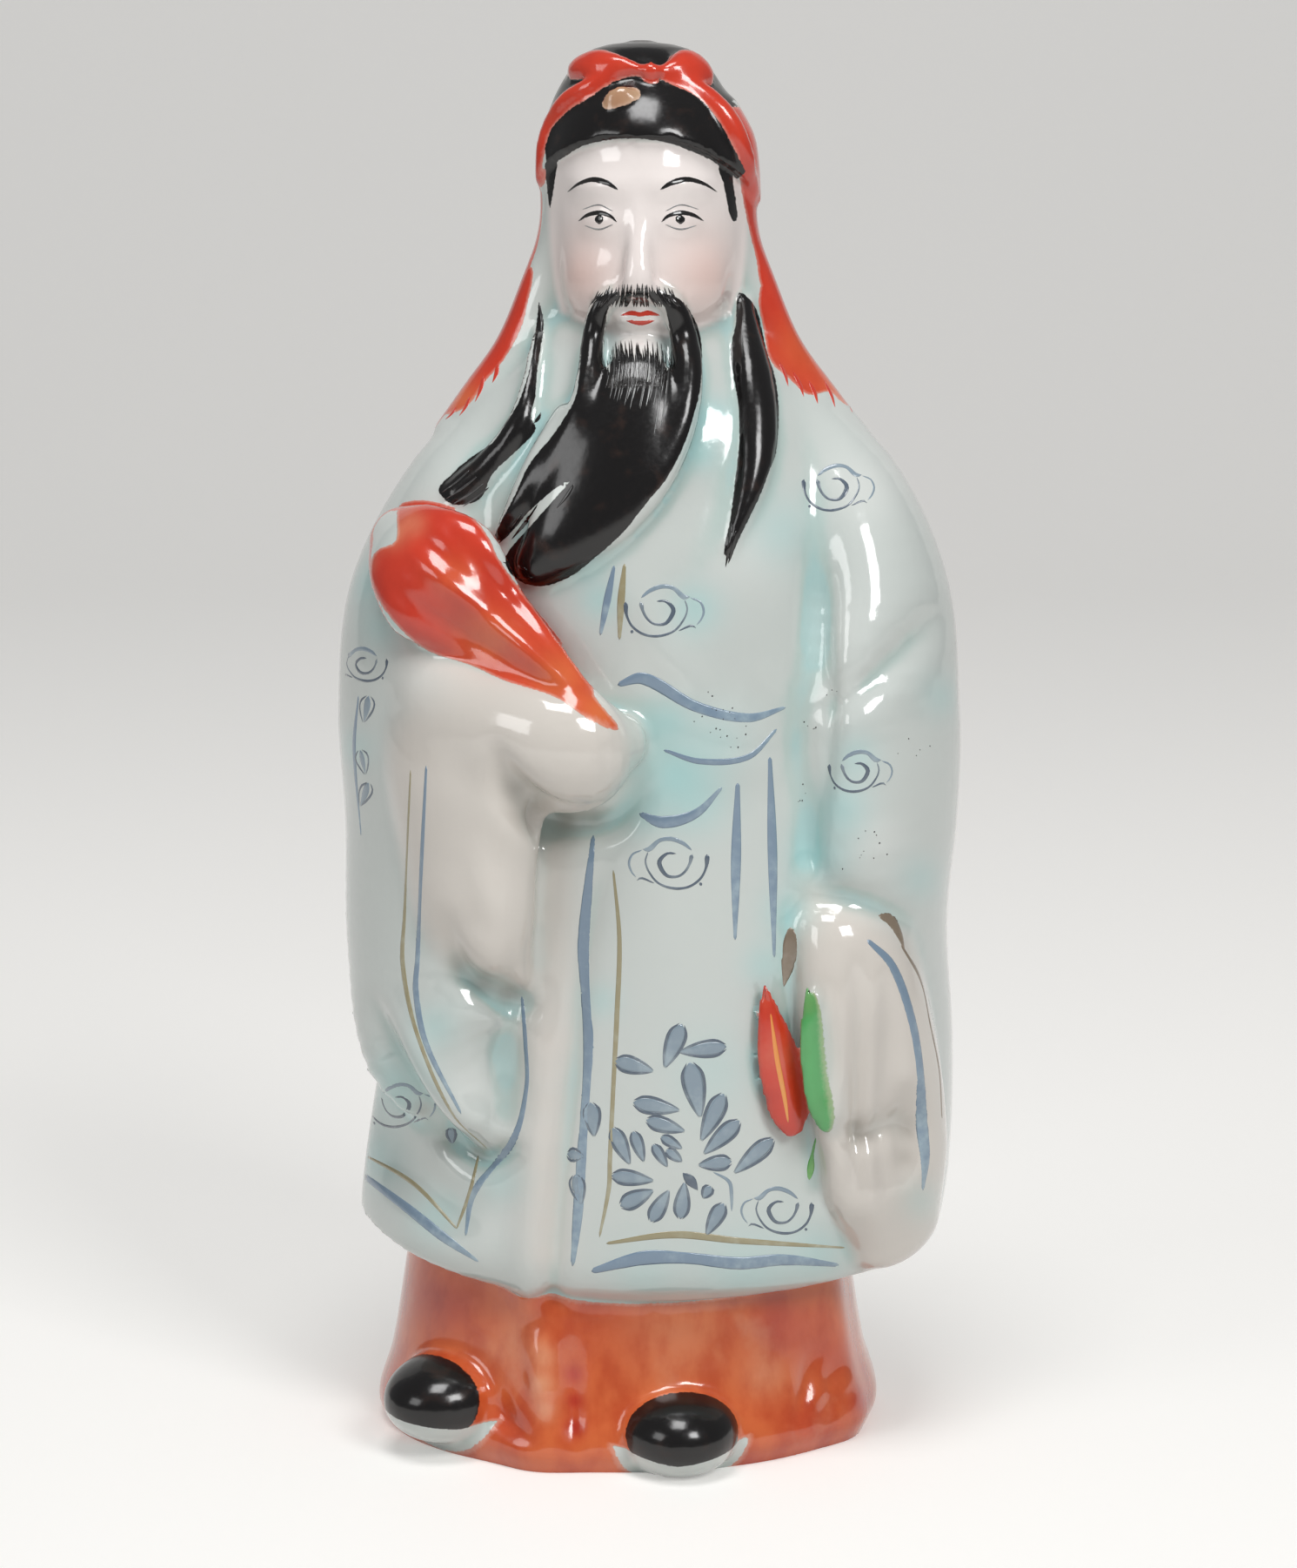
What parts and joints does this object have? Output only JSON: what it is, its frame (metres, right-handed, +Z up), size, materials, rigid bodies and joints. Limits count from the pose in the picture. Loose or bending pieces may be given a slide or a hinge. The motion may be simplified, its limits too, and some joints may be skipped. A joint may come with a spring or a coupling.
{
  "type": "figurine",
  "caption": "Hollow glazed porcelain figurine of a bearded sage in long robes, holding a folded fan; stands on its own foot.",
  "frame": {"origin": "on the table, at the middle of the figurine's box", "axes": "+Z up, -Y is the way the figurine faces, +X is its own left"},
  "size_m": [0.067, 0.0528, 0.15],
  "materials": {
    "robe_glaze": "glossy pale celadon glaze with soft turquoise washes",
    "lining_glaze": "glossy warm white glaze",
    "skin_glaze": "glossy white glaze with a light blush",
    "black_enamel": "glossy black overglaze enamel",
    "red_enamel": "brushed iron red overglaze enamel",
    "orange_enamel": "mottled glossy orange glaze",
    "green_enamel": "glossy green overglaze enamel",
    "gold_enamel": "worn gold overglaze",
    "bare_biscuit": "unglazed fired porcelain"
  },
  "bodies": {
    "root": {"robe_front": "robe_glaze", "robe_back": "robe_glaze", "right_sleeve": "robe_glaze", "left_sleeve": "robe_glaze", "right_cuff": "lining_glaze", "left_cuff": "lining_glaze", "right_hand": "lining_glaze", "head": "skin_glaze", "cap": "black_enamel", "crown": "black_enamel", "cap_band": "red_enamel", "bow_knot": "red_enamel", "left_bow": "red_enamel", "right_bow": "red_enamel", "cap_jewel": "gold_enamel", "veil": "red_enamel", "beard": "black_enamel", "left_moustache": "black_enamel", "right_moustache": "black_enamel", "right_lock": "black_enamel", "left_lock": "black_enamel", "fan": "red_enamel", "red_leaf": "red_enamel", "green_leaf": "green_enamel", "underskirt": "orange_enamel", "right_boot": "black_enamel", "left_boot": "black_enamel", "base_plate": "bare_biscuit"}
  },
  "joints": []
}
